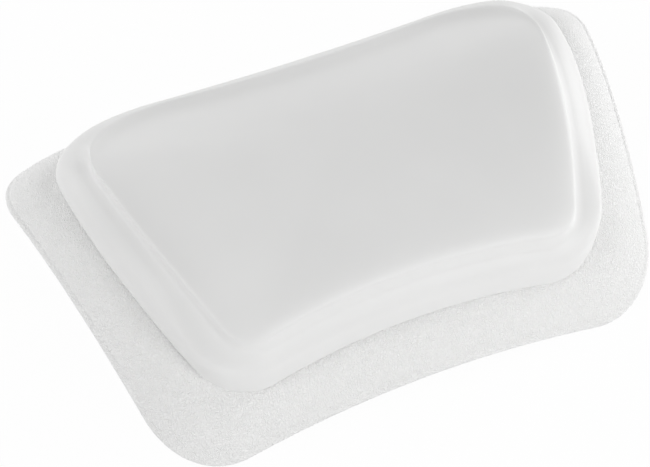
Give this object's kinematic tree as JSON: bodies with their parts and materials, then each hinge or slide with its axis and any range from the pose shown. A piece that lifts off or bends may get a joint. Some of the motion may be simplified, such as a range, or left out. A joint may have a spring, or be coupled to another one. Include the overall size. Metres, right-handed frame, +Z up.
{
  "type": "bath pillow",
  "caption": "Arched moulded bath pillow: a dished two-tier head pad on a grained skirt that drapes over the bath's rim, held by suction cups snapped into its underside.",
  "frame": {"origin": "centre of the bounding box seen from above, on the surface that the skirt's rim stands on", "axes": "+X along the rim of the bath, +Y away from the bather toward the longer edge, +Z up"},
  "size_m": [0.3086, 0.2044, 0.0821],
  "materials": {
    "grained_skin": "matte",
    "smooth_skin": "satin",
    "soft_foam": "matte",
    "firm_foam": "matte",
    "rear_skin": "matte",
    "socket_plastic": "satin",
    "cup_vinyl": "gloss"
  },
  "bodies": {
    "pillow": {"skirt_cover": "grained_skin", "pad_cover": "smooth_skin", "head_foam": "soft_foam", "base_foam": "firm_foam", "back_skin": "rear_skin", "cup_socket_back_left": "socket_plastic", "cup_socket_back_right": "socket_plastic", "cup_socket_front_left": "socket_plastic", "cup_socket_front_right": "socket_plastic"},
    "cup_back_left": {"suction_cup_back_left": "cup_vinyl"},
    "cup_back_right": {"suction_cup_back_right": "cup_vinyl"},
    "cup_front_left": {"suction_cup_front_left": "cup_vinyl"},
    "cup_front_right": {"suction_cup_front_right": "cup_vinyl"}
  },
  "joints": [
    {"name": "cup_back_left_spin", "type": "hinge", "parent": "pillow", "child": "cup_back_left", "pos_m": [-0.098, 0.04582, 0.01617], "axis": [0, 0.3416, 0.9399], "continuous": true},
    {"name": "cup_back_right_spin", "type": "hinge", "parent": "pillow", "child": "cup_back_right", "pos_m": [0.098, 0.04582, 0.01617], "axis": [0, 0.3416, 0.9399], "continuous": true},
    {"name": "cup_front_left_spin", "type": "hinge", "parent": "pillow", "child": "cup_front_left", "pos_m": [-0.0764, -0.05537, 0.01223], "axis": [0, -0.4136, 0.9105], "continuous": true},
    {"name": "cup_front_right_spin", "type": "hinge", "parent": "pillow", "child": "cup_front_right", "pos_m": [0.0764, -0.05537, 0.01223], "axis": [0, -0.4136, 0.9105], "continuous": true}
  ]
}
